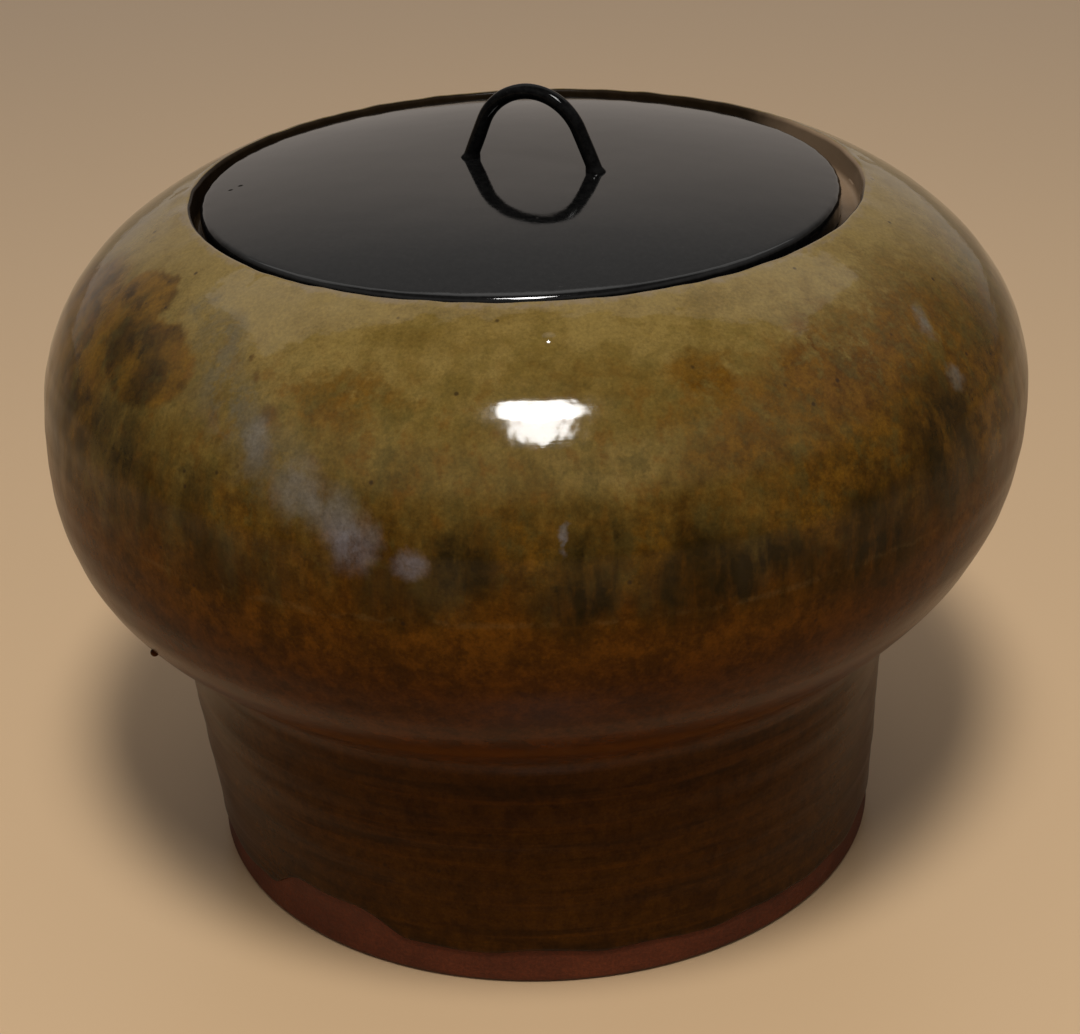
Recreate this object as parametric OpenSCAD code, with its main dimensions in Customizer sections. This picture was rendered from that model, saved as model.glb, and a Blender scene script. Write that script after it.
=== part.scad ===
// Mizusashi: a glazed stoneware water jar with a lacquered drop-in lid.
// The axis of the jar is Z, the foot stands on z = 0 and the knob's arch spans X.

/* [Jar] */
// Height of the rim above the table
rim_h = 154.5; // [150:0.5:165]
// Diameter of the mouth inside the lip
mouth_d = 144; // [130:1:156]
// Largest diameter of the bulb, over the glaze
belly_d = 217; // [205:1:235]
// Height of the widest part of the bulb
belly_h = 108; // [100:1:114]
// Fullness of the shoulder, where 2 is an ellipse
shoulder_full = 2.3; // [2.1:0.05:2.7]
// Fullness of the underside of the bulb, where 2 is an ellipse
under_full = 2.45; // [2.1:0.05:2.8]
// Diameter of the crease between the bulb and the foot
waist_d = 165; // [160:1:172]
// Height of the crease between the bulb and the foot
waist_h = 60; // [50:1:68]
// How far the crease is softened, up and down
crease_soft = 4; // [2:0.5:6]
// Thickness of the wall
wall = 7; // [5:0.5:9]

/* [Foot] */
// Diameter of the foot where the glaze stops
foot_d = 157; // [150:1:160]
// Diameter of the bare base
base_d = 157; // [150:1:164]
// Height of the bare clay below the glaze
bare_h = 8; // [5:0.5:14]
// Rounding of the base edge
base_edge_r = 1.5; // [0.5:0.25:3]
// Width of the ring that the jar stands on
ring_w = 9; // [6:0.5:14]
// Depth of the turned recess inside the ring
recess_h = 2.5; // [1:0.5:4]
// Thickness of the floor
floor_t = 9; // [6:0.5:12]
// Rounding between the floor and the wall inside
floor_round = 8; // [4:1:14]

/* [Mouth] */
// Width of the ledge that carries the lid
ledge_w = 8; // [7:0.5:10]
// Thickness of the ledge at its inner edge
ledge_t = 4; // [3:0.5:6]
// Rounding of the lip
lip_r = 1.2; // [0.8:0.1:2]
// Thickness of the glaze
glaze_t = 0.6; // [0.4:0.1:1]

/* [Lid] */
// Thickness of the lid at its edge
lid_t = 6; // [4.5:0.5:8]
// Rise of the lid from its edge to its middle
crown = 4.7; // [2:0.1:6]
// Fullness of the crown, where 2 is an even curve and more is flatter in the middle
crown_full = 2.7; // [2:0.1:4]
// Rounding of the upper edge of the lid
lid_edge_r = 1.2; // [0.8:0.1:2]
// Chamfer of the lower edge of the lid
lid_chamfer = 0.8; // [0.4:0.1:1.2]
// Room between the lid and the mouth, all round
lid_gap = 3; // [2:0.1:4]
// How far the lid has slid to one side in its seat
lid_set_over = 1.4; // [0:0.1:1.6]
// How far the edge of the lid lies below the rim
lid_drop = 0.5; // [0:0.1:2]

/* [Knob] */
// Diameter of the bent rod
rod_d = 3.3; // [2.5:0.1:4]
// Distance between the legs where they enter the lid, centre to centre
knob_span = 29.8; // [27:0.2:34]
// Height of the arch above the lid, to the middle of the rod
knob_h = 15.8; // [14:0.2:20]
// Radius of the bend, to the middle of the rod
knob_bend_r = 12.3; // [10:0.1:13]
// How far the knob stands off the middle of the lid
knob_off = 3.1; // [0:0.1:4]
// How much slimmer a leg is than the bend, all round
leg_slim = 0.1; // [0.05:0.05:0.3]
// Depth of each tenon in the lid
tenon_l = 4; // [3:0.5:5]
// Glue room round a tenon
glue_gap = 0.1; // [0.05:0.05:0.2]
// Spare depth of a tenon hole
hole_spare = 0.3; // [0.2:0.1:0.6]

/* [Hidden] */
$fn = 160;
// Steps along each curve of an outline
curve_steps = 14;
corner_steps = 5;
// Shortest straight stretch beside a softened corner
shortest_step = 1;
// Where the shoulder runs into the lip, as an angle on the lip's rounding
lip_lean = 67;
// How much of the way that a leg stays inside the bend is used to join them
lap_share = 0.8;

mouth_r = mouth_d / 2;
belly_r = belly_d / 2;
waist_r = waist_d / 2;
foot_r = foot_d / 2;
base_r = base_d / 2;
ring_inner_r = base_r - base_edge_r - ring_w;
floor_h = recess_h + floor_t;
ledge_h = rim_h - lid_drop - lid_t;
throat_r = mouth_r - ledge_w;

// The inside follows the outside one wall away, with the ledge standing in from it
inner_belly_r = belly_r - wall;
inner_waist_r = waist_r - wall;
inner_waist_h = waist_h + wall / 2;
inner_foot_r = foot_r - wall;
throat_h = ledge_h - ledge_t;

lid_r = mouth_r - lid_gap;
lid_edge_slope = atan(crown_full * crown / (lid_r - lid_edge_r));
lid_flat_r = lid_r - lid_edge_r + lid_edge_r * sin(lid_edge_slope);
lid_flat_h = ledge_h + lid_t - lid_edge_r + lid_edge_r * cos(lid_edge_slope);
lid_top_h = lid_flat_h + crown;

// The legs of the arch lean in until they are tangent to its bend
rod_r = rod_d / 2;
knob_half = knob_span / 2;
bend_h = knob_h - knob_bend_r;
bend_centre_h = lid_top_h + bend_h;
bend_reach = norm([knob_half, bend_h]);
leg_lean = 90 - atan2(bend_h, knob_half) - asin(knob_bend_r / bend_reach);
leg_l = sqrt(bend_reach * bend_reach - knob_bend_r * knob_bend_r);
leg_r = rod_r - leg_slim;
// The straight leg runs on into the bend for most of the way that it stays inside it
leg_lap = lap_share * sqrt(2 * knob_bend_r * leg_slim);

function arc(cx, cy, r, a0, a1, steps) =
    [for (i = [0:steps]) let (a = a0 + (a1 - a0) * i / steps) [cx + r * cos(a), cy + r * sin(a)]];

// Soft corner from a to b, drawn towards c
function blend(a, c, b, steps) =
    [for (i = [0:steps]) let (t = i / steps) (1 - t) * (1 - t) * a + 2 * t * (1 - t) * c + t * t * b];

function reversed(path) = [for (i = [len(path) - 1:-1:0]) path[i]];

// Angle at which a superellipse of radius r and fullness n has narrowed to r_end
function end_angle(r, n, r_end) = acos(pow(r_end / r, n / 2));

// Half height of a superellipse that reaches r_end at a height of rise
function half_height(r, n, r_end, rise) = rise / pow(sin(end_angle(r, n, r_end)), 2 / n);

// One flank of a superellipse, from its widest point to where it has narrowed to r_end, rise above
function flank(r, h, n, r_end, rise) =
    let (a_end = end_angle(r, n, r_end), half = half_height(r, n, r_end, abs(rise)))
    [for (i = [0:curve_steps]) let (a = a_end * i / curve_steps)
        [r * pow(cos(a), 2 / n), h + sign(rise) * half * pow(sin(a), 2 / n)]];

// Radius of the underside of the bulb at height z
function under_r(z) =
    let (half = half_height(belly_r, under_full, waist_r, belly_h - waist_h))
    belly_r * pow(1 - pow((belly_h - z) / half, under_full), 1 / under_full);

// Points of a flank that lie above height z
function above(path, z) = [for (p = path) if (p[1] > z) p];

// The path without its first point
function tail(path) = [for (i = [1:len(path) - 1]) path[i]];

// The path moved by t to its left, which is the clay side of the glaze
function inset(path, t) =
    [for (i = [0:len(path) - 1])
        let (a = path[max(i - 1, 0)], b = path[min(i + 1, len(path) - 1)], d = (b - a) / norm(b - a))
        path[i] + t * [-d[1], d[0]]];

// Outline of the glazed surface: up the outside, over the lip, and down the inside to the floor
crease_low = [foot_r + (waist_r - foot_r) * (waist_h - crease_soft - bare_h) / (waist_h - bare_h),
    waist_h - crease_soft];
crease_high = [under_r(waist_h + crease_soft), waist_h + crease_soft];
lip_start = [mouth_r + lip_r + lip_r * cos(lip_lean), rim_h - lip_r + lip_r * sin(lip_lean)];
glazed_line = concat(
    [[foot_r, bare_h]],
    blend(crease_low, [waist_r, waist_h], crease_high, corner_steps),
    above(reversed(flank(belly_r, belly_h, under_full, waist_r, waist_h - belly_h)),
        crease_high[1] + shortest_step),
    tail(flank(belly_r, belly_h, shoulder_full, lip_start[0], lip_start[1] - belly_h)),
    tail(arc(mouth_r + lip_r, rim_h - lip_r, lip_r, lip_lean, 180, corner_steps)),
    [[mouth_r, ledge_h], [throat_r, ledge_h]],
    reversed(flank(inner_belly_r, belly_h, shoulder_full, throat_r, throat_h - belly_h)),
    tail(flank(inner_belly_r, belly_h, under_full, inner_waist_r, inner_waist_h - belly_h)),
    arc(inner_foot_r - floor_round, floor_h + floor_round, floor_round, 0, -90, corner_steps),
    [[0, floor_h]]);
clay_line = inset(glazed_line, glaze_t);

// One leg of the knob, or the room for it, from inside the bend down to a depth in the lid
module leg(side, r, depth) {
    translate([knob_off + side * knob_bend_r * cos(leg_lean), 0, bend_centre_h + knob_bend_r * sin(leg_lean)])
        rotate([0, -side * leg_lean, 0])
            translate([0, 0, -leg_l - depth])
                cylinder(r = r, h = leg_lap + leg_l + depth);
}

// The lid and its knob lie where the lid has slid to
module in_seat() {
    translate([-lid_set_over, 0, 0]) children();
}

module stoneware_jar() {
    color([0.36, 0.20, 0.14])
        rotate_extrude()
            polygon(concat(
                [[0, recess_h], [ring_inner_r, recess_h], [ring_inner_r, 0]],
                arc(base_r - base_edge_r, base_edge_r, base_edge_r, -90, 0, corner_steps),
                clay_line));
}

module glaze_coat() {
    color([0.42, 0.33, 0.12])
        rotate_extrude()
            polygon(concat(glazed_line, reversed(clay_line)));
}

module lid_board() {
    color([0.03, 0.03, 0.03])
        in_seat()
            difference() {
                rotate_extrude()
                    polygon(concat(
                        [[0, ledge_h], [lid_r - lid_chamfer, ledge_h], [lid_r, ledge_h + lid_chamfer]],
                        arc(lid_r - lid_edge_r, ledge_h + lid_t - lid_edge_r, lid_edge_r,
                            0, 90 - lid_edge_slope, corner_steps),
                        [for (i = [1:curve_steps]) let (share = 1 - i / curve_steps)
                            [lid_flat_r * share, lid_flat_h + crown * (1 - pow(share, crown_full))]]));
                for (side = [-1, 1])
                    leg(side, leg_r + glue_gap, tenon_l + hole_spare);
            }
}

module lid_knob() {
    color([0.02, 0.02, 0.02])
        in_seat() {
            translate([knob_off, 0, bend_centre_h])
                rotate([90, 0, 0])
                    rotate([0, 0, leg_lean])
                        rotate_extrude(angle = 180 - 2 * leg_lean)
                            translate([knob_bend_r, 0])
                                circle(r = rod_r);
            for (side = [-1, 1])
                leg(side, leg_r, tenon_l);
        }
}

stoneware_jar();
glaze_coat();
lid_board();
lid_knob();
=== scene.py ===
"""Looks of the mizusashi: a glazed stoneware jar and its black lacquered lid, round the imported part."""
import math

import bmesh
import bpy
from mathutils import Matrix, Vector, noise


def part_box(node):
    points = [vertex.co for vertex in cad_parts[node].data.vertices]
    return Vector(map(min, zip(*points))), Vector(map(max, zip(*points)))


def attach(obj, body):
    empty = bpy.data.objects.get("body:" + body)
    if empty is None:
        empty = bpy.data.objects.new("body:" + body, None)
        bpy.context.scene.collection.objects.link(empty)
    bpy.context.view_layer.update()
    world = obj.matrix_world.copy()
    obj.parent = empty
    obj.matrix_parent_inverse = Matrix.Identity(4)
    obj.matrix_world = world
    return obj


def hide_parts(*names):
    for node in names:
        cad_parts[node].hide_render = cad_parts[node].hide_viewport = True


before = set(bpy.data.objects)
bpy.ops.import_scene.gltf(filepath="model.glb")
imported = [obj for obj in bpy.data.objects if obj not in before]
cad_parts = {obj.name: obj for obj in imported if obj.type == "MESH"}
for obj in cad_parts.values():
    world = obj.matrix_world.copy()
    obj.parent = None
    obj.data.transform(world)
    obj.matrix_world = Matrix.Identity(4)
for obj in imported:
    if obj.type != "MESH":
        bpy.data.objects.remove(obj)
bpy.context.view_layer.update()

MM = 0.001

# Sizes of the jar, in mm
RIM_H = 154.5
MOUTH_R = 72.0
BELLY_R = 108.5
BELLY_H = 108.0
SHOULDER_FULL = 2.3
UNDER_FULL = 2.45
WAIST_R = 82.5
WAIST_H = 60.0
CREASE = 5.0
WALL = 7.0
FOOT_R = 78.5
BASE_R = 78.2
BARE_H = 8.0
BASE_EDGE_R = 1.5
RING_W = 9.0
RECESS_H = 2.5
FLOOR_H = 11.5
FLOOR_ROUND = 8.0
LEDGE_H = 148.0
LEDGE_T = 4.0
THROAT_R = 64.0
LEDGE_FILLET = 1.4
LIP_R = 0.9
LIP_LEAN = 67.0
LIP_WOBBLE = 0.25
GLAZE_T = 0.6
# Rounding of the recess under the foot and of the ring's inner edge, and the room between clay and glaze
RECESS_ROUND = 1.2
RING_ROUND = 0.6
CLAY_ROOM = 0.05
# Steps round the jar and the lid, and round the clay, which the glaze hides for the most part
AROUND = 288
CLAY_AROUND = 192

# How far the thrown wall leans: left at the base, further left at the waist, and right at the belly
BASE_LEAN = 0.6
WAIST_LEAN = 0.9
BELLY_LEAN = 0.5
# The potter's broad and fine rings, and the slow sway of the wall: depth, more of it on the foot, and length
BROAD_RING = 0.15
BROAD_RING_FOOT = 0.12
BROAD_RING_L = 4.6
FINE_RING = 0.05
FINE_RING_FOOT = 0.04
FINE_RING_L = 1.7
WALL_SWAY = 0.22
WALL_SWAY_L = 42

# The rolled lower edge of the glaze, as steps out from FOOT_R and up from BARE_H
GLAZE_ROLL = ((-0.5, -0.15), (-0.2, -0.25), (0.1, 0.0), (0.25, 0.6), (0.25, 1.4), (0.3, 2.4))
# How far up the foot the glaze follows its uneven lower edge, and how far that edge rises and waves
HEM_H = 21.0
HEM_RISE = 0.6
HEM_LONG_WAVES = 2.2
HEM_SHORT_WAVES = 1.3
# Where the glaze stops short and bares more clay: how far, at which angle, and its half width in degrees
SHORT_GLAZE = 5.5
SHORT_GLAZE_ANGLE = -38.0
SHORT_GLAZE_FULL = 5.0
SHORT_GLAZE_END = 15.0
# Beads of glaze that ran and froze: angle to the right of the photograph's side, height and radius
GLAZE_BEADS = ((-53.0, 75.2, 0.9),)

# Sizes of the lid and its knob, in mm
LID_R = 69.0
LID_T = 6.0
LID_CROWN = 4.7
CROWN_FULL = 2.7
LID_EDGE_R = 1.6
LID_CHAMFER = 0.8
LID_X = -1.4
CROWN_STEPS = 48
# Size of the waves in the lid's edge, and how closely they follow each other
EDGE_WAVES = 0.16
EDGE_WAVE_RATE = 22
ROD_R = 1.65
KNOB_X = 1.7
KNOB_HALF = 14.9
KNOB_H = 15.8
KNOB_BEND_R = 12.3
TENON = 4.0
# Steps round the rod, along a leg and along the bend, and the size and length of the rod's unevenness
ROD_AROUND = 28
LEG_STEPS = 28
BEND_STEPS = 36
ROD_UNEVEN = 0.07
ROD_UNEVEN_L = 5.5
# Chips in the lacquer of the lid, seen from the photograph's side, with their half widths
LID_CHIPS = ((-63.9, 0.6, 0.7), (-61.9, 2.4, 0.8))
# How far the lacquer that gathers round a leg stands out from it and up from the lid
FOOT_FLARE = 0.4
FOOT_RISE = 1.3

# Where the photograph was taken from: angle from the face of the knob's arch, in degrees, and place in mm
VIEW_TURN = 26.6
CAMERA_BACK = 457.8
CAMERA_UP = 302.0
CAMERA_PITCH = 26.54
CAMERA_YAW = 0.04
CAMERA_ROLL = -2.15
FOCAL_PX = 2200.0
IMAGE_W = 1080.0
SENSOR_W = 36.0


# Outlines, as (radius, height) points in mm

def arc(r, h, size, start, stop, steps):
    """Points on a circle round (r, h), from one angle to another in degrees."""
    angles = (math.radians(start + (stop - start) * i / steps) for i in range(steps + 1))
    return [(r + size * math.cos(a), h + size * math.sin(a)) for a in angles]


def straight(a, b, steps):
    """Points from a to b, without b."""
    return [(a[0] + (b[0] - a[0]) * i / steps, a[1] + (b[1] - a[1]) * i / steps) for i in range(steps)]


def soft_corner(a, corner, b, steps):
    """A soft turn from a to b that is drawn towards a corner."""
    points = []
    for i in range(steps + 1):
        t = i / steps
        shares = ((1 - t) ** 2, 2 * t * (1 - t), t * t)
        points.append(tuple(sum(s * p[k] for s, p in zip(shares, (a, corner, b))) for k in (0, 1)))
    return points


def flank(r, h, fullness, r_end, rise, steps):
    """A superellipse's outline from its widest point to where it has narrowed to r_end, rise above."""
    end = math.acos((r_end / r) ** (fullness / 2))
    half = rise / math.sin(end) ** (2 / fullness)
    angles = [end * i / steps for i in range(steps + 1)]
    return [(r * math.cos(a) ** (2 / fullness), h + half * math.sin(a) ** (2 / fullness)) for a in angles]


def inset(path, t):
    """The path moved by t to its left."""
    moved = []
    for i, (r, h) in enumerate(path):
        a = path[max(i - 1, 0)]
        b = path[min(i + 1, len(path) - 1)]
        length = math.hypot(b[0] - a[0], b[1] - a[1])
        moved.append((r - t * (b[1] - a[1]) / length, h + t * (b[0] - a[0]) / length))
    return moved


def bulb_r(h):
    """Radius of the bulb at a height."""
    fullness, r_end, rise = UNDER_FULL, WAIST_R, BELLY_H - WAIST_H
    if h > BELLY_H:
        fullness, r_end, rise = SHOULDER_FULL, MOUTH_R + LIP_R, RIM_H - BELLY_H
    end = math.acos((r_end / BELLY_R) ** (fullness / 2))
    half = rise / math.sin(end) ** (2 / fullness)
    return BELLY_R * (1 - (abs(h - BELLY_H) / half) ** fullness) ** (1 / fullness)


def outside_line():
    """The glazed outside, from the edge of the glaze to the top of the lip."""
    lean = (WAIST_R - FOOT_R) / (WAIST_H - BARE_H)
    crease_low = (FOOT_R + lean * (WAIST_H - CREASE - BARE_H), WAIST_H - CREASE)
    crease_high = (bulb_r(WAIST_H + CREASE), WAIST_H + CREASE)
    lip_start = (
        MOUTH_R + LIP_R + LIP_R * math.cos(math.radians(LIP_LEAN)),
        RIM_H - LIP_R + LIP_R * math.sin(math.radians(LIP_LEAN)),
    )
    roll = [(FOOT_R + out, BARE_H + up) for out, up in GLAZE_ROLL]
    foot = straight((FOOT_R + 4 * lean, BARE_H + 4), crease_low, 44)
    crease = soft_corner(crease_low, (WAIST_R, WAIST_H), crease_high, 10)
    under = flank(BELLY_R, BELLY_H, UNDER_FULL, WAIST_R, WAIST_H - BELLY_H, 56)[::-1]
    under = [p for p in under if p[1] > crease_high[1] + 0.6]
    shoulder = flank(BELLY_R, BELLY_H, SHOULDER_FULL, lip_start[0], lip_start[1] - BELLY_H, 60)[1:]
    lip = arc(MOUTH_R + LIP_R, RIM_H - LIP_R, LIP_R, LIP_LEAN, 180, 9)[1:]
    return roll + foot + crease + under + shoulder + lip


def inside_line():
    """The glazed inside, from under the lip to the middle of the floor."""
    seat = arc(MOUTH_R - LEDGE_FILLET, LEDGE_H + LEDGE_FILLET, LEDGE_FILLET, 0, -90, 5)
    edge = arc(THROAT_R + LEDGE_FILLET, LEDGE_H - LEDGE_FILLET, LEDGE_FILLET, 90, 180, 5)
    throat_h = LEDGE_H - LEDGE_T
    inner_r = BELLY_R - WALL
    upper = flank(inner_r, BELLY_H, SHOULDER_FULL, THROAT_R, throat_h - BELLY_H, 16)[::-1]
    waist_h = WAIST_H + WALL / 2
    lower = flank(inner_r, BELLY_H, UNDER_FULL, WAIST_R - WALL, waist_h - BELLY_H, 14)[1:]
    foot = straight((WAIST_R - WALL, waist_h), (FOOT_R - WALL, FLOOR_H + FLOOR_ROUND), 8)[1:]
    bend = arc(FOOT_R - WALL - FLOOR_ROUND, FLOOR_H + FLOOR_ROUND, FLOOR_ROUND, 0, -90, 6)
    floor = straight(bend[-1], (0, FLOOR_H), 8)[1:]
    return seat + edge + upper + lower + foot + bend + floor + [(0, FLOOR_H)]


def clay_r(h):
    """Radius of the bare clay at a height near the foot."""
    low = BASE_R - (BASE_R - FOOT_R + GLAZE_T) * (h - BASE_EDGE_R) / (BARE_H - BASE_EDGE_R)
    high = FOOT_R - GLAZE_T + (WAIST_R - FOOT_R) * (h - BARE_H) / (WAIST_H - BARE_H)
    return low if h < BARE_H else high


# Shapes

def turned_to_view(x, y, z):
    """A place seen from the photograph's side, x to the right and y away, in mm, in the part's frame."""
    return Matrix.Rotation(math.radians(VIEW_TURN), 3, "Z") @ Vector((x, y, z)) * MM


def turn(outline, steps):
    """Turns an outline round the jar's axis."""
    mesh = bmesh.new()
    corners = [mesh.verts.new((r * MM, 0, h * MM)) for r, h in outline]
    edges = [mesh.edges.new(pair) for pair in zip(corners, corners[1:])]
    bmesh.ops.spin(
        mesh,
        geom=corners + edges,
        cent=(0, 0, 0),
        axis=(0, 0, 1),
        angle=math.tau,
        steps=steps,
        use_merge=True,
    )
    bmesh.ops.remove_doubles(mesh, verts=mesh.verts, dist=1e-6)
    bmesh.ops.recalc_face_normals(mesh, faces=mesh.faces)
    return mesh


def smooth(x, low, high):
    """Rises softly from 0 at low to 1 at high."""
    t = min(max((x - low) / (high - low), 0), 1)
    return t * t * (3 - 2 * t)


def lean_of_hand(h):
    """How far the wall stands left of its axis at a height, in mm, seen from the photograph's side."""
    low = (BASE_LEAN + WAIST_LEAN * smooth(h, 4, 48)) * (1 - smooth(h, 70, 104))
    return low - BELLY_LEAN * smooth(h, 96, 114) * (1 - smooth(h, 122, 146))


def by_hand(co):
    """Moves a point of the jar to where a hand-thrown wall has it."""
    turned = math.radians(VIEW_TURN)
    left = Vector((-math.cos(turned), -math.sin(turned), 0))
    return co + left * lean_of_hand(co.z / MM) * MM


def throwing_marks(co):
    """Height of the rings that the potter's fingers left, in mm, at a point in mm."""
    around = Vector((co.x, co.y, 0)).normalized()
    h = co.z + 0.9 * noise.noise(around * 0.7)
    broad = noise.noise(Vector((around.x * 0.5, around.y * 0.5, h / BROAD_RING_L)))
    fine = noise.noise(Vector((around.x * 0.8, around.y * 0.8, h / FINE_RING_L + 40)))
    sway = noise.noise(co / WALL_SWAY_L)
    on_foot = 1 - smooth(h, 58, 78)
    below_lip = 1 - smooth(h, 148, 152)
    broad_depth = BROAD_RING + BROAD_RING_FOOT * on_foot
    fine_depth = FINE_RING + FINE_RING_FOOT * on_foot
    return below_lip * (broad_depth * broad + fine_depth * fine + WALL_SWAY * sway)


def glaze_line(around):
    """How far the edge of the glaze lies above its usual height, in mm, in a direction round the jar."""
    turned = math.radians(SHORT_GLAZE_ANGLE)
    towards = turned_to_view(math.sin(turned), -math.cos(turned), 0) / MM
    end = math.cos(math.radians(SHORT_GLAZE_END))
    full = math.cos(math.radians(SHORT_GLAZE_FULL))
    short = SHORT_GLAZE * smooth(around.dot(towards), end, full)
    long_waves = HEM_LONG_WAVES * noise.noise(around * 1.7 + Vector((3, 0, 0)))
    short_waves = HEM_SHORT_WAVES * noise.noise(around * 6.5)
    return HEM_RISE + (long_waves + short_waves) + short


def finish_piece(mesh, name, sharp=None):
    """Makes an object of a shape, shaded softly except across edges sharper than an angle in degrees."""
    for edge in mesh.edges:
        if sharp and edge.is_manifold and edge.calc_face_angle() > math.radians(sharp):
            edge.smooth = False
    for face in mesh.faces:
        face.smooth = True
    data = bpy.data.meshes.new(name)
    mesh.to_mesh(data)
    mesh.free()
    piece = bpy.data.objects.new(name, data)
    bpy.context.scene.collection.objects.link(piece)
    return piece


def make_clay():
    """The fired clay under the glaze, with its bare foot ring."""
    ring_inner = BASE_R - BASE_EDGE_R - RING_W
    under = straight((0, RECESS_H), (ring_inner - RECESS_ROUND, RECESS_H), 6)
    recess = arc(ring_inner - RECESS_ROUND, RECESS_H - RECESS_ROUND, RECESS_ROUND, 90, 0, 4)
    ring = arc(ring_inner + RING_ROUND, RING_ROUND, RING_ROUND, 180, 270, 3)
    base = arc(BASE_R - BASE_EDGE_R, BASE_EDGE_R, BASE_EDGE_R, -90, 0, 6)
    # A finely stepped band where the clay shows, and above it every third point of the glaze's outline
    band = [(clay_r(h), h) for h in range(2, 20)]
    skin = inset(outside_line() + inside_line(), GLAZE_T + CLAY_ROOM)
    wall = [p for i, p in enumerate(skin) if i > 16 and i % 3 == 0]
    middle = (0, FLOOR_H - GLAZE_T - CLAY_ROOM)
    mesh = turn(under + recess + ring + base + band + wall + [middle], CLAY_AROUND)
    for vert in mesh.verts:
        vert.co = by_hand(vert.co)
    return finish_piece(mesh, "fired_clay", sharp=50)


def make_glaze():
    """The glaze: a skin over the outside, the lip and the inside, with an uneven lower edge."""
    skin = outside_line() + inside_line()
    # The hidden back of the skin, with every fifth point from above the rolled edge
    back = inset(skin, GLAZE_T)
    back = [p for i, p in enumerate(back) if i > 6 and i % 5 == 0] + [(0, FLOOR_H - GLAZE_T)]
    mesh = turn(back[::-1] + skin, AROUND)
    inside = mesh.verts.layers.float.new("inside")
    hem = mesh.verts.layers.float.new("hem")
    for vert in mesh.verts:
        co = vert.co / MM
        around = Vector((co.x, co.y, 0))
        radius = around.length
        if radius < 0.01:
            vert[inside] = 1
            continue
        around /= radius
        on_lip = co.z > RIM_H - 2 * LIP_R
        wall_r = MOUTH_R + 0.7 * LIP_R
        if not on_lip:
            wall_r = (bulb_r(co.z) if co.z > WAIST_H else clay_r(co.z)) - WALL / 2
        outer = radius > wall_r
        vert[inside] = not outer
        if outer and BARE_H + 2 < co.z < RIM_H - 0.2:
            radius += throwing_marks(co) * smooth(co.z, BARE_H + 2, BARE_H + 10)
        if on_lip:
            radius += LIP_WOBBLE * noise.noise(around * 9)
            co.z += LIP_WOBBLE * noise.noise(around * 13 + Vector((0, 0, 5)))
        if co.z < BARE_H + HEM_H and outer:
            vert[hem] = 1 - smooth(co.z, BARE_H, BARE_H + 4)
            lifted = glaze_line(around) * (1 - smooth(co.z, BARE_H + 1, BARE_H + HEM_H))
            radius += clay_r(co.z + lifted) - clay_r(co.z)
            co.z += lifted
        vert.co = by_hand(Vector((around.x * radius, around.y * radius, co.z)) * MM)
    for angle, h, size in GLAZE_BEADS:
        place = by_hand(turned_to_view(*on_jar(angle, h)))
        bmesh.ops.create_icosphere(mesh, subdivisions=3, radius=size * MM, matrix=Matrix.Translation(place))
    return finish_piece(mesh, "ash_glaze")


def make_lid():
    """The turned lid: flat below, with a chamfer, a rounded upper edge and a low crown."""
    slope = math.atan(CROWN_FULL * LID_CROWN / (LID_R - LID_EDGE_R))
    flat_r = LID_R - LID_EDGE_R + LID_EDGE_R * math.sin(slope)
    edge_h = LEDGE_H + LID_T - LID_EDGE_R
    flat_h = edge_h + LID_EDGE_R * math.cos(slope)
    below = straight((0, LEDGE_H), (LID_R - LID_CHAMFER, LEDGE_H), 8)
    chamfer = [(LID_R - LID_CHAMFER, LEDGE_H), (LID_R, LEDGE_H + LID_CHAMFER)]
    edge = arc(LID_R - LID_EDGE_R, edge_h, LID_EDGE_R, 0, 90 - math.degrees(slope), 10)
    shares = [1 - i / CROWN_STEPS for i in range(1, CROWN_STEPS + 1)]
    crown = [(flat_r * s, flat_h + LID_CROWN * (1 - s ** CROWN_FULL)) for s in shares]
    mesh = turn(below + chamfer + edge + crown, AROUND)
    for vert in mesh.verts:
        around = Vector((vert.co.x, vert.co.y, 0))
        near_edge = smooth(around.length / MM, LID_R - 2 * LID_EDGE_R, LID_R - LID_EDGE_R)
        if near_edge:
            around.normalize()
            vert.co += around * near_edge * EDGE_WAVES * noise.noise(around * EDGE_WAVE_RATE) * MM
    bmesh.ops.translate(mesh, verts=mesh.verts, vec=(LID_X * MM, 0, 0))
    return finish_piece(mesh, "lacquered_lid", sharp=30)


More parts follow.
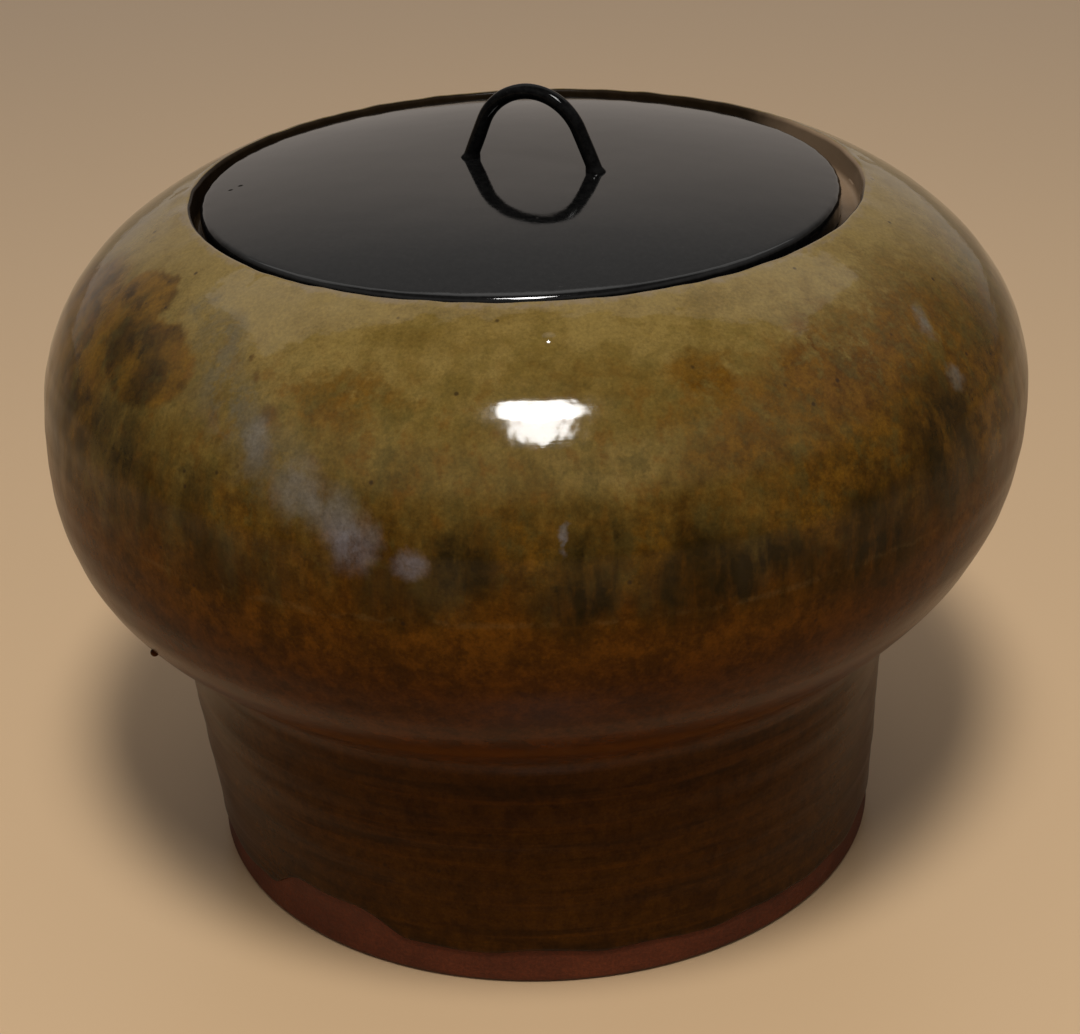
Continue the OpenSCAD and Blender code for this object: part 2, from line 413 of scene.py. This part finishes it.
def make_knob():
    """The bent rod: a straight leg, a round bend and a straight leg, with its ends in the lid."""
    top_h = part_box("lid_knob")[1].z / MM - ROD_R
    bend_h = top_h - KNOB_BEND_R
    rise = KNOB_H - KNOB_BEND_R
    reach = math.hypot(KNOB_HALF, rise)
    lean = math.pi / 2 - math.atan2(rise, KNOB_HALF) - math.asin(KNOB_BEND_R / reach)
    leg = math.sqrt(reach * reach - KNOB_BEND_R * KNOB_BEND_R) + TENON
    up = Vector((math.sin(lean), 0, math.cos(lean)))
    down = Vector((math.sin(lean), 0, -math.cos(lean)))
    centre = Vector((KNOB_X, 0, bend_h))
    tangent = centre + Vector((-math.cos(lean), 0, math.sin(lean))) * KNOB_BEND_R

    mesh = bmesh.new()
    ring = bmesh.ops.create_circle(mesh, segments=ROD_AROUND, radius=ROD_R * MM)["verts"]
    bmesh.ops.rotate(mesh, verts=ring, cent=(0, 0, 0), matrix=Matrix.Rotation(lean, 3, "Y"))
    bmesh.ops.translate(mesh, verts=ring, vec=(tangent - up * leg) * MM)
    edges = list(mesh.edges)

    def draw_out(edges, way):
        """Draws a ring of edges out by a way, and gives the ring at its new end."""
        made = bmesh.ops.extrude_edge_only(mesh, edges=edges)["geom"]
        bmesh.ops.translate(mesh, verts=[g for g in made if isinstance(g, bmesh.types.BMVert)], vec=way)
        return [g for g in made if isinstance(g, bmesh.types.BMEdge) and g.is_boundary]

    for _ in range(LEG_STEPS):
        edges = draw_out(edges, up * leg / LEG_STEPS * MM)
    ends = {v for e in edges for v in e.verts}
    spun = bmesh.ops.spin(
        mesh,
        geom=list(ends) + edges,
        cent=centre * MM,
        axis=(0, 1, 0),
        angle=math.pi - 2 * lean,
        steps=BEND_STEPS,
    )["geom_last"]
    edges = [g for g in spun if isinstance(g, bmesh.types.BMEdge)]
    for _ in range(LEG_STEPS):
        edges = draw_out(edges, down * leg / LEG_STEPS * MM)
    bmesh.ops.holes_fill(mesh, edges=[e for e in mesh.edges if e.is_boundary], sides=0)
    bmesh.ops.recalc_face_normals(mesh, faces=mesh.faces)
    lid_top = LEDGE_H + LID_T + LID_CROWN
    for vert in mesh.verts:
        gathered = FOOT_FLARE * (1 - smooth(vert.co.z / MM, lid_top, lid_top + FOOT_RISE)) ** 2
        uneven = ROD_UNEVEN * noise.noise(vert.co / (ROD_UNEVEN_L * MM))
        vert.co += vert.normal * (gathered + uneven) * MM
    return finish_piece(mesh, "bent_knob", sharp=50)


# Finishes

class Field:
    """A socket of a material's nodes. Arithmetic on it adds the nodes that work it out."""

    def __init__(self, tree, socket):
        self.tree = tree
        self.socket = socket

    def node(self, kind, settings=None, inputs=None, output=0):
        """Adds a node with its settings, feeds its sockets with values or fields, and gives one output."""
        made = self.tree.nodes.new(kind)
        for name, value in (settings or {}).items():
            setattr(made, name, value)
        for key, value in (inputs or {}).items():
            if isinstance(value, Field):
                self.tree.links.new(value.socket, made.inputs[key])
            else:
                made.inputs[key].default_value = value
        return Field(self.tree, made.outputs[output])

    def math(self, operation, *others):
        """A number worked out from this one and others."""
        return self.node("ShaderNodeMath", {"operation": operation}, dict(enumerate((self, *others))))

    def __add__(self, other):
        return self.math("ADD", other)

    def __mul__(self, other):
        return self.math("MULTIPLY", other)

    def __sub__(self, other):
        return self.math("SUBTRACT", other)

    def __rsub__(self, other):
        return self.math("MULTIPLY", -1.0) + other

    __radd__ = __add__
    __rmul__ = __mul__

    def rise(self, low, high):
        """A soft step from 0 at low to 1 at high."""
        reach = {"Value": self, "From Min": low, "From Max": high}
        return self.node("ShaderNodeMapRange", {"interpolation_type": "SMOOTHSTEP"}, reach)

    def tint(self, a, b):
        """Colour a where this is 0 and b where it is 1."""
        settings = {"data_type": "RGBA", "clamp_factor": True}
        return self.node("ShaderNodeMix", settings, {0: self, 6: a, 7: b}, 2)

    def vector(self, operation, other, output=0):
        """A vector, or with another output a number, worked out from this vector and another one."""
        return self.node("ShaderNodeVectorMath", {"operation": operation}, {0: self, 1: other}, output)

    def stretched(self, rates):
        """This place, at other rates along its three axes."""
        return self.vector("MULTIPLY", rates)

    def moved(self, shift, reach):
        """This place, moved by a field of shifts times their reach in mm."""
        return self.vector("ADD", shift.vector("MULTIPLY", reach))

    def noise(self, scale, detail=3.0, rough=0.55, output="Fac"):
        """Noise at this place, with its scale per mm."""
        inputs = {"Vector": self, "Scale": scale, "Detail": detail, "Roughness": rough}
        return self.node("ShaderNodeTexNoise", None, inputs, output)

    def ramp(self, stops):
        """A colour from stops of (value, colour), with soft steps between them."""
        low = stops[0][0]
        span = stops[-1][0] - low
        reach = {"Value": self, "From Min": low, "From Max": low + span}
        share = self.node("ShaderNodeMapRange", None, reach)
        colour = share.node("ShaderNodeValToRGB", None, {"Fac": share})
        bands = colour.socket.node.color_ramp
        for value, tone in stops[1:-1]:
            bands.elements.new((value - low) / span).color = tone
        bands.elements[0].color = stops[0][1]
        bands.elements[-1].color = stops[-1][1]
        return colour

    def spot(self, centre, size, edge=0.65):
        """1 in an egg-shaped place of half sizes in mm and 0 outside it, with a soft edge."""
        away = self.vector("SUBTRACT", centre).vector("DIVIDE", size).vector("LENGTH", (0, 0, 0), "Value")
        return away.rise(1.0, 1.0 - edge)


def node_of(tree, kind):
    """The first node of a type that a new tree of nodes comes with."""
    return next(n for n in tree.nodes if n.type == kind)


def new_finish(name):
    """A material with its Principled shader, and its place on the piece in mm."""
    material = bpy.data.materials.new(name)
    material.use_nodes = True
    tree = material.node_tree
    shader = node_of(tree, "BSDF_PRINCIPLED")
    coords = Field(tree, tree.nodes.new("ShaderNodeTexCoord").outputs["Object"])
    return material, shader, coords.vector("MULTIPLY", (1000, 1000, 1000))


def connect(shader, **fields):
    """Feeds the shader's sockets: fields by link, and values that are the same all over directly."""
    for key, value in fields.items():
        socket = shader.inputs[key.replace("_", " ")]
        if isinstance(value, Field):
            value.tree.links.new(value.socket, socket)
        else:
            socket.default_value = value


def relief(height, depth):
    """A normal from a field of heights, with the depth in mm that a height of 1 stands for."""
    return height.node("ShaderNodeBump", None, {"Strength": 1.0, "Distance": depth * MM, "Height": height})


def blend(share, shader, other):
    """Shows a material's own shader where the share is 0 and another one where it is 1."""
    inputs = {0: share, 1: Field(share.tree, shader.outputs[0]), 2: other}
    mixed = share.node("ShaderNodeMixShader", None, inputs)
    share.tree.links.new(mixed.socket, share.tree.nodes["Material Output"].inputs["Surface"])


def rgb(r, g, b):
    """A colour in linear light."""
    return (r, g, b, 1.0)


# Places on the glaze: angle to the right of the photograph's side, height, half width and half height
AMBER_LOBE = ((-74, 125, 34, 31), (-62, 146, 11, 7), (-52, 139.5, 15, 8.3))
RUST_GLOW = (
    (-2.5, 121, 10, 9), (10, 119, 6, 10), (27, 121, 12, 10), (-33, 122, 12, 9),
    (36, 140, 18, 9), (-22, 142, 16, 7), (20, 144, 12, 6), (21, 136, 16, 12),
)
RUST_STREAK = ((-36.4, 145.6, 1.1, 2.2), (-34.2, 142.8, 1.9, 2), (-30.5, 138.5, 3, 3.6))
SMOKE = (
    (-49, 149, 9, 5), (-43, 146, 9, 7), (-39, 141, 11, 9),
    (-34, 137, 11, 9), (-29, 132, 11, 10), (-24, 126, 9, 8),
)
DEEP_POOLS = (
    (16, 112, 17, 14), (24, 109, 15, 11), (36, 115, 13, 13), (48, 121, 17, 22),
    (36, 104, 22, 9), (4.5, 116, 8, 15), (-7, 118, 10, 11),
)
SHALLOW_POOLS = (
    (-57, 140, 10, 7), (-51, 139, 9, 11), (-53, 128, 15, 10), (-33, 110, 16, 9), (-14, 110, 14, 8),
    (4, 108, 14, 8), (-64, 121, 20, 14), (-47, 119, 17, 13), (-37, 121, 7, 12),
)
MILK = (
    (-31, 135, 5, 7), (-25, 129, 7, 8), (-21, 124.5, 8, 9), (-18.3, 119, 7, 7),
    (-12.4, 117.2, 4.5, 4), (2.2, 122.5, 1.1, 3.6), (53.6, 132, 3.5, 8), (53.8, 140.5, 3, 6),
)
# Tones of the ash coat, from the thin brown that has run furthest to the thick olive under the lip
ASH_TONES = (
    (80, rgb(0.060, 0.0200, 0.0012)),
    (98, rgb(0.044, 0.0180, 0.0012)),
    (107, rgb(0.046, 0.0200, 0.0016)),
    (115, rgb(0.068, 0.0350, 0.0044)),
    (126, rgb(0.098, 0.0595, 0.0105)),
    (137, rgb(0.132, 0.0870, 0.0190)),
    (150, rgb(0.176, 0.1180, 0.0320)),
)
POOL_TONE = rgb(0.015, 0.0084, 0.0010)


def on_jar(angle, h):
    """A place on the glaze, seen from the photograph's side: an angle to the right of it, and a height."""
    turned = math.radians(angle)
    return (bulb_r(h) * math.sin(turned), -bulb_r(h) * math.cos(turned), h)


def glaze_finish():
    """Ash glaze: olive on the shoulder, smoky amber below it, running down into dark brown."""
    material, shader, place = new_finish("ash_glaze")
    turned = {"Vector": place, "Angle": -math.radians(VIEW_TURN)}
    place = place.node("ShaderNodeVectorRotate", {"rotation_type": "Z_AXIS"}, turned)
    height = place.node("ShaderNodeSeparateXYZ", None, {0: place}, "Z")
    drift = place.noise(0.06, 5.0, 0.62, "Color").vector("SUBTRACT", (0.5, 0.5, 0.5))
    fray = place.noise(0.22, 4.0, 0.62, "Color").vector("SUBTRACT", (0.5, 0.5, 0.5))
    wandering = place.moved(drift, (34, 34, 26))
    shifted = place.moved(drift, (14, 14, 14))
    frayed = shifted.moved(fray, (6, 6, 8))
    steady = place.moved(drift, (5, 5, 5)).moved(fray, (4, 4, 4))
    streaks = place.stretched((1, 1, 0.3)).noise(0.1, 5.0, 0.62)
    drips = place.stretched((1, 1, 0.2)).noise(0.2, 4.0, 0.6)
    clouds = wandering.noise(0.05, 5.0, 0.62)
    blots = wandering.noise(0.12, 5.0, 0.65)
    mottle = place.noise(0.3, 6.0, 0.68)
    flecks = place.stretched((1, 1, 0.75)).noise(0.5, 6.0, 0.74)
    grain = place.noise(1.5, 3.0, 0.6)
    rings = place.stretched((0.02, 0.02, 1)).noise(0.5, 3.0, 0.6)
    tinge = place.stretched((1, 1, 0.7)).noise(0.24, 4.0, 0.6)
    patchy = (blots + mottle) * 0.5

    def places(spots, where=frayed, edge=0.65):
        """The places of a list of angles, heights, half widths and half heights, together."""
        marks = 0
        for angle, h, wide, tall in spots:
            marks = where.spot(on_jar(angle, h), (wide, wide, tall), edge) + marks
        return marks

    # How far the pale ash coat has run down
    thin_left = places(AMBER_LOBE, steady, 0.22).math("MINIMUM", 1.0)
    thin_right = frayed.spot(on_jar(48, 126), (56, 56, 38))
    thin_back = wandering.spot(on_jar(160, 128), (60, 60, 40))
    thick_front = frayed.spot(on_jar(6, 132), (22, 22, 9))
    run = height + (streaks - 0.5) * 36 + (drips - 0.5) * 22
    run = run + (clouds - 0.5) * 40 + (mottle - 0.5) * 26 - 2.5
    run = run + (rings - 0.5) * 10 + thick_front * 9
    run = run - thin_left * 8 - thin_right * 8 - thin_back * 24
    colour = run.ramp(ASH_TONES)

    # Amber where the coat is thin, smoke grey and milky lilac where it is thick, dark where it has pooled
    stains = shifted.noise(0.13, 2.5, 0.55) * 0.8 + mottle * 0.2
    amber = stains.rise(0.32, 0.64).tint(rgb(0.024, 0.0106, 0.0009), rgb(0.138, 0.0670, 0.0055))
    colour = (thin_left * (height + (blots - 0.5) * 4).rise(154, 150) * 0.94).tint(colour, amber)
    rust = mottle.rise(0.3, 0.7).tint(rgb(0.052, 0.0200, 0.0013), rgb(0.122, 0.0560, 0.0046))
    worn = patchy.rise(0.34, 0.58) * run.rise(98, 112) * run.rise(158, 142)
    colour = (worn * (thin_right + places(RUST_GLOW) * 0.6 + 0.2)).tint(colour, rust)
    colour = (places(RUST_STREAK, steady, 0.7) * 0.75).tint(colour, rgb(0.064, 0.0260, 0.0030))
    coated = height.rise(152, 140) * height.rise(100, 112)
    colour = (tinge.rise(0.52, 0.66) * coated * 0.5).tint(colour, rgb(0.112, 0.0480, 0.0052))
    colour = (tinge.rise(0.48, 0.34) * coated * 0.5).tint(colour, rgb(0.066, 0.0480, 0.0105))
    smoke = places(SMOKE, shifted, 0.9) * blots.rise(0.66, 0.40)
    colour = (smoke * 0.74).tint(colour, rgb(0.094, 0.0740, 0.0400))
    pools = places(DEEP_POOLS) * 0.82 + places(SHALLOW_POOLS) * 0.55
    pools = pools * (drips.rise(0.32, 0.56) * 0.8 + mottle.rise(0.34, 0.6) * 0.4)
    colour = pools.tint(colour, POOL_TONE)
    milk = places(MILK, shifted, 0.85) * (mottle.rise(0.26, 0.52) * 0.6 + drips.rise(0.30, 0.5) * 0.4)
    milk_tone = height.rise(127, 118).tint(rgb(0.124, 0.1060, 0.0820), rgb(0.120, 0.1060, 0.1140))
    colour = (milk * 0.8).tint(colour, milk_tone)

    # The lower bulb carries one thin brown coat, darker towards the waist, with a painted reflection on its
    # crest: a lighter orange ring
    low = (height + (streaks - 0.5) * 30 + (drips - 0.5) * 20).rise(116, 101)
    coat = patchy.rise(0.38, 0.62).tint(rgb(0.046, 0.0165, 0.0013), rgb(0.120, 0.0435, 0.0034))
    coat = (clouds.rise(0.42, 0.6) * 0.3).tint(coat, rgb(0.100, 0.0290, 0.0014))
    sunk = (height + (clouds - 0.5) * 12).rise(106, 84)
    deep = patchy.rise(0.38, 0.62).tint(rgb(0.030, 0.0080, 0.0005), rgb(0.066, 0.0170, 0.0009))
    coat = (sunk * 0.85).tint(coat, deep)
    coat = (pools * 0.75).tint(coat, POOL_TONE)
    colour = (low * 0.88).tint(colour, coat)
    # Painted reflection: a lighter orange ring round the crest of the waist, where the glaze faces down
    painted_crest_reflection = height + (clouds - 0.5) * 3
    painted_crest_reflection = painted_crest_reflection.rise(65, 67) * painted_crest_reflection.rise(71, 69)
    colour = (painted_crest_reflection * 0.42).tint(colour, rgb(0.120, 0.0400, 0.0022))

    # The foot is darker, with bands from the throwing and short dark dashes where the glaze lies in them
    foot = (height + (mottle - 0.5) * 8).rise(63, 54)
    dashes = place.stretched((0.1, 0.1, 1)).noise(0.3, 3.0, 0.55)
    dark = patchy.rise(0.34, 0.66).tint(rgb(0.033, 0.0108, 0.0007), rgb(0.062, 0.0218, 0.0014))
    dark = (rings.rise(0.5, 0.7) * 0.5).tint(dark, rgb(0.080, 0.0260, 0.0016))
    dark = (dashes.rise(0.52, 0.68) * 0.55).tint(dark, rgb(0.019, 0.0068, 0.0005))
    colour = foot.tint(colour, dark)
    hem = place.node("ShaderNodeAttribute", {"attribute_name": "hem"}, None, "Fac")
    colour = (hem * drips.rise(0.35, 0.6) * 0.8).tint(colour, rgb(0.016, 0.0065, 0.0006))

    # A ring where the glaze breaks over a ridge of the throwing, and fine flecks and grain all over
    ridge = height + (clouds - 0.5) * 6
    ridge = ridge.rise(104.6, 105.4) * ridge.rise(106.6, 105.6) * blots.rise(0.42, 0.6)
    colour = (ridge * 0.22).tint(colour, rgb(0.120, 0.0720, 0.0240))
    shade = (flecks - 0.5) * (height.rise(146, 122) * 0.8 + 0.45) + grain * 0.8 + 0.6
    shade = shade.node("ShaderNodeCombineXYZ", None, {0: shade, 1: shade, 2: shade})
    colour = colour.vector("MULTIPLY", shade)

    # Iron specks, in some of the cells
    cells = {"Vector": place, "Scale": 0.17, "Randomness": 1.0}
    pick = place.node("ShaderNodeTexVoronoi", None, cells, "Color")
    pick = pick.node("ShaderNodeSeparateColor", None, {0: pick}, 0)
    specks = place.node("ShaderNodeTexVoronoi", None, cells, "Distance").rise(0.11, 0.04)
    colour = (specks * pick.rise(0.5, 0.6) * 0.7).tint(colour, rgb(0.020, 0.010, 0.004))

    # The lip, where the glaze has drawn thin over the edge, and the inside, darker brown, with painted shade
    # on the lid's seat and painted light on its right side
    lip = (height + (mottle - 0.5) * 1.6).rise(RIM_H - 0.7, RIM_H - 0.1)
    colour = (lip * blots.rise(0.35, 0.6) * 0.45).tint(colour, rgb(0.170, 0.130, 0.100))
    inside = place.node("ShaderNodeAttribute", {"attribute_name": "inside"}, None, "Fac")
    lining = mottle.rise(0.3, 0.7).tint(rgb(0.026, 0.0150, 0.0070), rgb(0.058, 0.0350, 0.0160))
    seat = height.rise(LEDGE_H - 3, LEDGE_H)
    painted_seat_light = shifted.spot((70, 22, 150), (30, 46, 16))
    # Painted shade: the seat of the lid and the inner wall of the lip above it, darkened as if in the gap's
    # shadow
    lining = (seat * 0.8).tint(lining, rgb(0.007, 0.0045, 0.0025))
    # Painted light: a paler brown patch on the seat's right side, where the gap beside the lid is lit
    lining = (seat * painted_seat_light).tint(lining, rgb(0.210, 0.1420, 0.0880))
    colour = inside.tint(colour, lining)

    # Deep gloss above, and a duller skin on the thin coat below and on the seat of the lid
    blister = place.spot(on_jar(2.2, 150.5), (1.7, 1.7, 1.3), 1.0)
    swell = place.noise(0.16, 2.0, 0.5)
    skin = relief(rings * (foot * 0.5 + 0.16) + swell * 0.55 + blister * 1.7, 0.16)
    connect(shader, Base_Color=colour, Roughness=mottle * 0.06 + 0.05, Normal=skin, IOR=1.4)
    dull = {"Base Color": colour, "Roughness": mottle * 0.1 + 0.2, "Normal": skin, "IOR": 1.13}
    dull = place.node("ShaderNodeBsdfPrincipled", None, dull)
    thin = (height + (streaks - 0.5) * 30).rise(130, 104) * (1 - inside) + inside * seat
    blend(thin * 0.96, shader, dull)
    return material


def clay_finish():
    """Bare fired clay: reddish brown, sandy, with fine turning lines."""
    material, shader, place = new_finish("fired_clay")
    blush = place.noise(0.06, 4.0, 0.6)
    sand = place.noise(1.3, 5.0, 0.7)
    lines = place.stretched((0.03, 0.03, 1)).noise(0.9, 3.0, 0.6)
    colour = blush.rise(0.35, 0.65).tint(rgb(0.090, 0.0190, 0.0058), rgb(0.130, 0.0290, 0.0090))
    darker = colour.vector("MULTIPLY", (0.75, 0.72, 0.7))
    lighter = colour.vector("MULTIPLY", (1.2, 1.2, 1.2))
    colour = sand.rise(0.35, 0.7).tint(darker, lighter)
    skin = relief(sand * 0.6 + lines * 0.6, 0.25)
    connect(shader, Base_Color=colour, Roughness=sand * 0.25 + 0.5, Normal=skin, IOR=1.35)
    return material


def lacquer_finish(name, ior):
    """Black lacquer: a deep gloss with faint waves, hairline rubbing, a little dust and two chips."""
    material, shader, place = new_finish(name)
    waves = place.noise(0.05, 2.0, 0.5)
    film = place.noise(0.9, 4.0, 0.7)
    rub = place.stretched((0.25, 2.0, 0.25)).noise(0.5, 4.0, 0.7)
    cells = {"Vector": place, "Scale": 0.35, "Randomness": 1.0}
    dust = place.node("ShaderNodeTexVoronoi", None, cells, "Distance").rise(0.10, 0.04)
    colour = film.rise(0.35, 0.75).tint(rgb(0.0022, 0.0022, 0.0023), rgb(0.0060, 0.0058, 0.0057))
    colour = (dust * 0.25).tint(colour, rgb(0.030, 0.028, 0.026))
    gloss = rub.rise(0.5, 0.8) * 0.05 + film * 0.06 + dust * 0.1 + 0.03
    skin = relief(waves + film * 0.05, 0.12)
    connect(shader, Base_Color=colour, Roughness=gloss, Normal=skin, IOR=ior)
    chips = 0
    for x, y, size in LID_CHIPS:
        chips = place.spot(turned_to_view(x, y, LEDGE_H + LID_T) / MM, (size, size, 4.0), 0.5) + chips
    bare = {"Base Color": rgb(0.006, 0.005, 0.004), "Roughness": 0.8, "IOR": 1.1}
    blend(chips, shader, place.node("ShaderNodeBsdfPrincipled", None, bare))
    return material


# Pieces

for make, finish, body, node, slot in (
    (make_clay, clay_finish(), "jar", "stoneware_jar", "stoneware"),
    (make_glaze, glaze_finish(), "jar", "glaze_coat", "glaze"),
    (make_lid, lacquer_finish("lid_lacquer", 1.5), "lid", "lid_board", "lacquer"),
    (make_knob, lacquer_finish("knob_lacquer", 1.2), "lid", "lid_knob", "lacquer"),
):
    piece = make()
    piece.data.materials.append(finish)
    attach(piece, body)
    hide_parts(node)


# Floor, light and camera

# Radius of the floor in m, and its tone
FLOOR_R = 6.0
FLOOR_TONE = rgb(0.64, 0.44, 0.255)
# Lamps: shape, place and aim seen from the photograph's side in mm, width and length in m, and power in W
LAMP_TONE = (1.0, 0.985, 0.96)
LAMPS = {
    "lamp_panel": ("ELLIPSE", (8, -415, 1090), (0, -90, 140), 0.28, 0.17, 4.9),
    "lamp_bowl": ("ELLIPSE", (8, -515, 1045), (0, -90, 140), 0.18, 0.32, 4.9),
    "lamp_back": ("RECTANGLE", (0, 800, 1500), (0, 60, 100), 2.4, 0.8, 3.2),
}


def make_floor():
    """A plain pale floor, far wider than the view."""
    mesh = bmesh.new()
    bmesh.ops.create_circle(mesh, cap_ends=True, segments=96, radius=FLOOR_R)
    floor = finish_piece(mesh, "floor")
    material = bpy.data.materials.new("pale_floor")
    material.use_nodes = True
    shader = node_of(material.node_tree, "BSDF_PRINCIPLED")
    connect(shader, Base_Color=FLOOR_TONE, Roughness=0.3, IOR=1.4)
    floor.data.materials.append(material)


def make_lamp(name, shape, place, aim, wide, long, watts):
    """A soft lamp that shines from a place towards its aim."""
    place = turned_to_view(*place)
    aim = turned_to_view(*aim)
    data = bpy.data.lights.new(name, "AREA")
    data.shape = shape
    data.size = wide
    data.size_y = long
    data.energy = watts
    data.color = LAMP_TONE
    lamp = bpy.data.objects.new(name, data)
    lamp.location = place
    lamp.rotation_mode = "QUATERNION"
    lamp.rotation_quaternion = (aim - place).to_track_quat("-Z", "Y")
    bpy.context.scene.collection.objects.link(lamp)


def make_world():
    """A dim room with a paler wall behind the jar, and a ceiling that is darker right overhead."""
    world = bpy.data.worlds.new("room")
    world.use_nodes = True
    bpy.context.scene.world = world
    tree = world.node_tree
    background = node_of(tree, "BACKGROUND")
    way = Field(tree, tree.nodes.new("ShaderNodeTexCoord").outputs["Generated"])
    up = way.node("ShaderNodeSeparateXYZ", None, {0: way}, "Z")
    behind = way.vector("DOT_PRODUCT", turned_to_view(0, 1 / MM, 0), "Value").rise(0.6, 0.9)
    walls = behind.tint(rgb(0.095, 0.085, 0.075), rgb(0.42, 0.37, 0.33))
    ceiling = up.rise(0.74, 0.90).tint(rgb(0.28, 0.27, 0.26), rgb(0.09, 0.085, 0.08))
    room = up.rise(0.26, 0.64).tint(walls, ceiling)
    connect(background, Color=room, Strength=1.0)


def make_camera():
    """The camera at the photograph's place, turned and rolled as it was."""
    pitch = math.radians(CAMERA_PITCH)
    yaw = math.radians(CAMERA_YAW)
    roll = math.radians(CAMERA_ROLL)
    ahead = Vector((math.sin(yaw) * math.cos(pitch), math.cos(yaw) * math.cos(pitch), -math.sin(pitch)))
    right = Vector((math.cos(yaw), -math.sin(yaw), 0))
    up = right.cross(ahead)
    across = right * math.cos(roll) + up * math.sin(roll)
    upward = up * math.cos(roll) - right * math.sin(roll)
    facing = Matrix((across, upward, -ahead)).transposed()
    data = bpy.data.cameras.new("camera")
    data.sensor_width = SENSOR_W
    data.lens = FOCAL_PX * SENSOR_W / IMAGE_W
    data.clip_start = 0.01
    camera = bpy.data.objects.new("camera", data)
    camera.location = turned_to_view(0, -CAMERA_BACK, CAMERA_UP)
    camera.rotation_mode = "QUATERNION"
    turned = Matrix.Rotation(math.radians(VIEW_TURN), 3, "Z")
    camera.rotation_quaternion = (turned @ facing).to_quaternion()
    bpy.context.scene.collection.objects.link(camera)
    bpy.context.scene.camera = camera


make_floor()
for name, lamp in LAMPS.items():
    make_lamp(name, *lamp)
make_world()
make_camera()
bpy.context.scene.view_settings.view_transform = "Standard"
